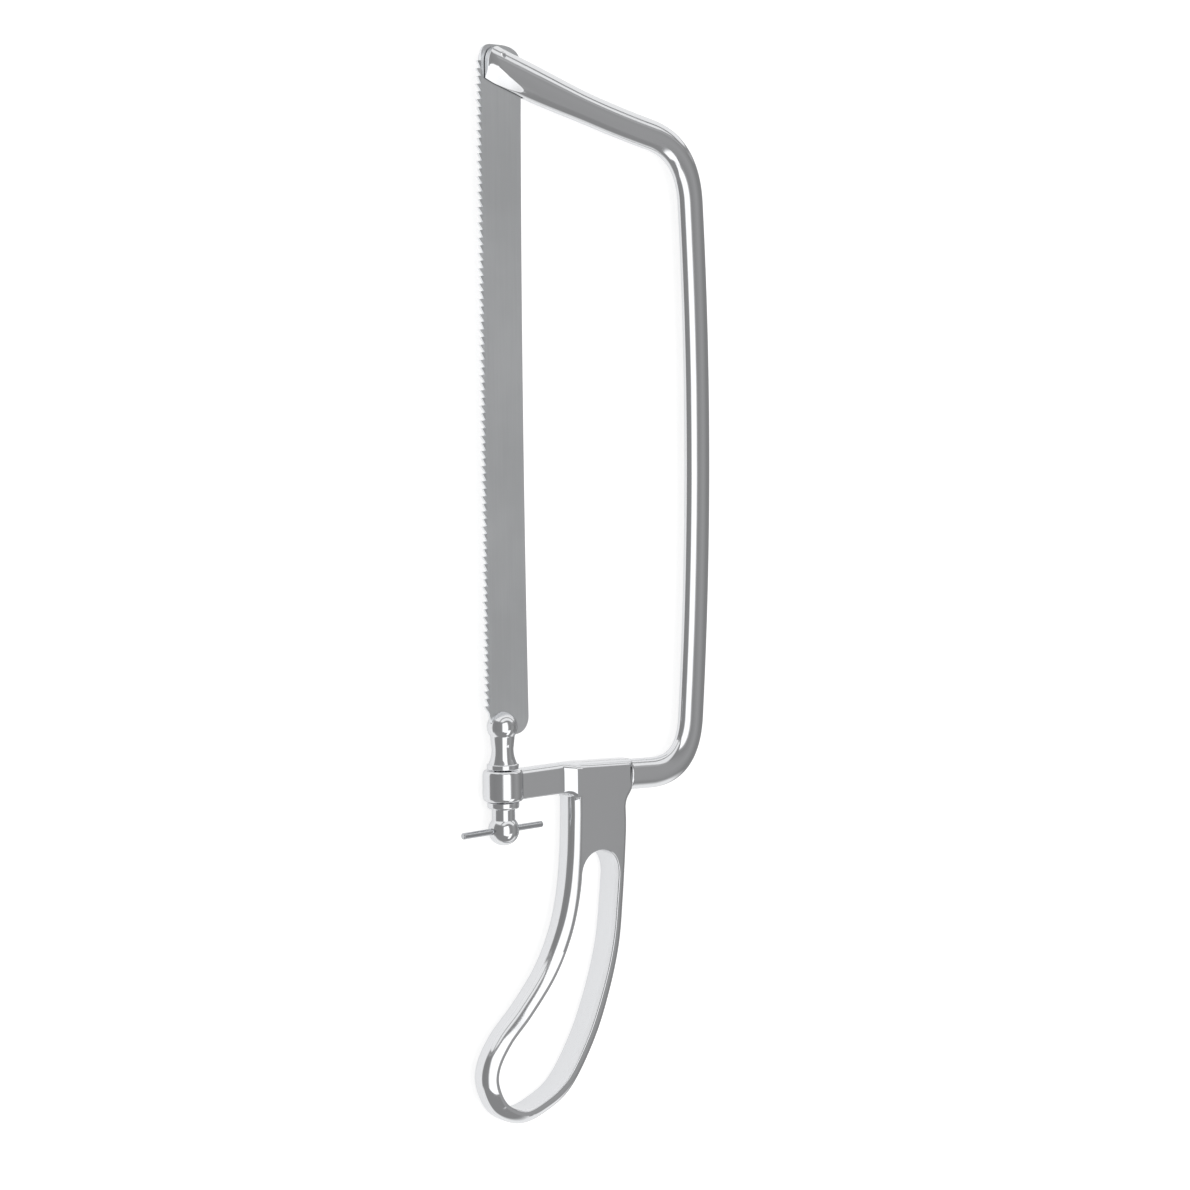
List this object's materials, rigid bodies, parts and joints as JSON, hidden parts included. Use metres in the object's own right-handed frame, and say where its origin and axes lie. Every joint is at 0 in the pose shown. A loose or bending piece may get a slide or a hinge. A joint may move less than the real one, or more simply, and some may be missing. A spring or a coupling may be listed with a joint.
{
  "type": "butcher saw",
  "caption": "Bow-framed butcher saw: a thin toothed blade hooked on the toe of a steel bow and drawn tight by a ball nut with a tommy bar, with a closed loop handle.",
  "frame": {"origin": "bottom centre of the saw as it lies on its side, under the middle of its length and width", "axes": "+X from the teeth towards the spine of the bow, +Y along the blade from the handle to the toe, +Z square to the flat of the saw"},
  "size_m": [0.1168, 0.3616, 0.0138],
  "materials": {
    "polished_steel": "plated and polished to a mirror, with fine handling marks",
    "ground_steel": "ground along the blade to a satin grey"
  },
  "bodies": {
    "frame": {"bow_frame": "polished_steel", "handle_casting": "polished_steel", "tension_barrel": "polished_steel", "toe_pin": "polished_steel"},
    "holder": {"blade_holder": "polished_steel", "saw_blade": "ground_steel", "heel_pin": "polished_steel"},
    "nut": {"tension_nut": "polished_steel", "tommy_bar": "polished_steel"}
  },
  "joints": [
    {"name": "nut_turn", "type": "hinge", "parent": "frame", "child": "nut", "pos_m": [-0.0405, -0.06517, 0.0069], "axis": [0, -1, 0], "range_deg": [0, 1800]},
    {"name": "holder_slide", "type": "slide", "parent": "frame", "child": "holder", "axis": [0, 1, 0], "range_m": [0, 0.004]}
  ],
  "couplings": [
    {"joint": "nut_turn", "follows": "holder_slide", "rad_per_m": 7854}
  ]
}
